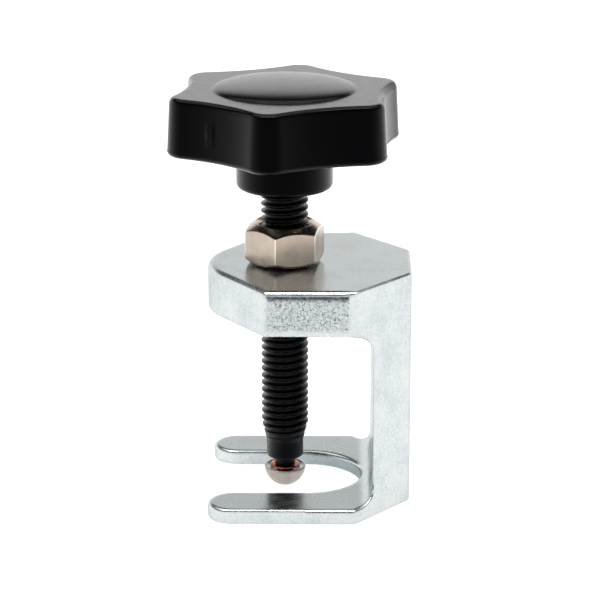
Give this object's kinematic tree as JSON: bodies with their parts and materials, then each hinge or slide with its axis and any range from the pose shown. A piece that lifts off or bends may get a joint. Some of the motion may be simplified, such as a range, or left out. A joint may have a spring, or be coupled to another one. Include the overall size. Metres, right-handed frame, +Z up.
{
  "type": "ball joint separator",
  "caption": "Small C-frame ball joint separator: forked lower jaw, threaded spindle with star knob, lock nut and swivel pressure pad.",
  "frame": {"origin": "middle of the whole tool's box, on the plane of the fork's underside; the spindle's axis is 1.05 mm towards -X from it", "axes": "+Z up along the spindle, from the fork to the knob; -X is the side that the fork opens to; +X is the web's back"},
  "size_m": [0.0401, 0.04, 0.0705],
  "materials": {
    "frame_zinc": "bright zinc plate over a forged, shot-blasted skin",
    "spindle_black_oxide": "rolled thread, black oxide, lightly oiled",
    "knob_plastic": "moulded, semi-gloss",
    "bush_steel": "turned steel",
    "nut_nickel": "nickel plate",
    "pad_nickel": "nickel plate",
    "washer_copper": "copper, half bright"
  },
  "bodies": {
    "frame": {"frame": "frame_zinc"},
    "swivel": {"swivel_washer": "washer_copper"},
    "spindle": {"spindle": "spindle_black_oxide", "star_knob": "knob_plastic", "knob_bush": "bush_steel"},
    "pad": {"pressure_pad": "pad_nickel"},
    "nut": {"lock_nut": "nut_nickel"}
  },
  "joints": [
    {"name": "spindle_travel", "type": "slide", "parent": "frame", "child": "swivel", "axis": [0, 0, 1], "range_m": [0, 0.0275]},
    {"name": "spindle_turn", "type": "hinge", "parent": "swivel", "child": "spindle", "pos_m": [-0.00105, 0, 0.0041], "axis": [0, 0, 1], "range_deg": [0, 7920]},
    {"name": "pad_tilt", "type": "hinge", "parent": "swivel", "child": "pad", "pos_m": [-0.00105, 0, 0.0026], "axis": [0, 1, 0], "range_deg": [-5, 5]},
    {"name": "lock_nut_travel", "type": "slide", "parent": "spindle", "child": "nut", "axis": [0, 0, 1], "range_m": [0, 0.0055]}
  ],
  "couplings": [
    {"joint": "spindle_travel", "follows": "spindle_turn", "m_per_rad": 0.00019894}
  ]
}
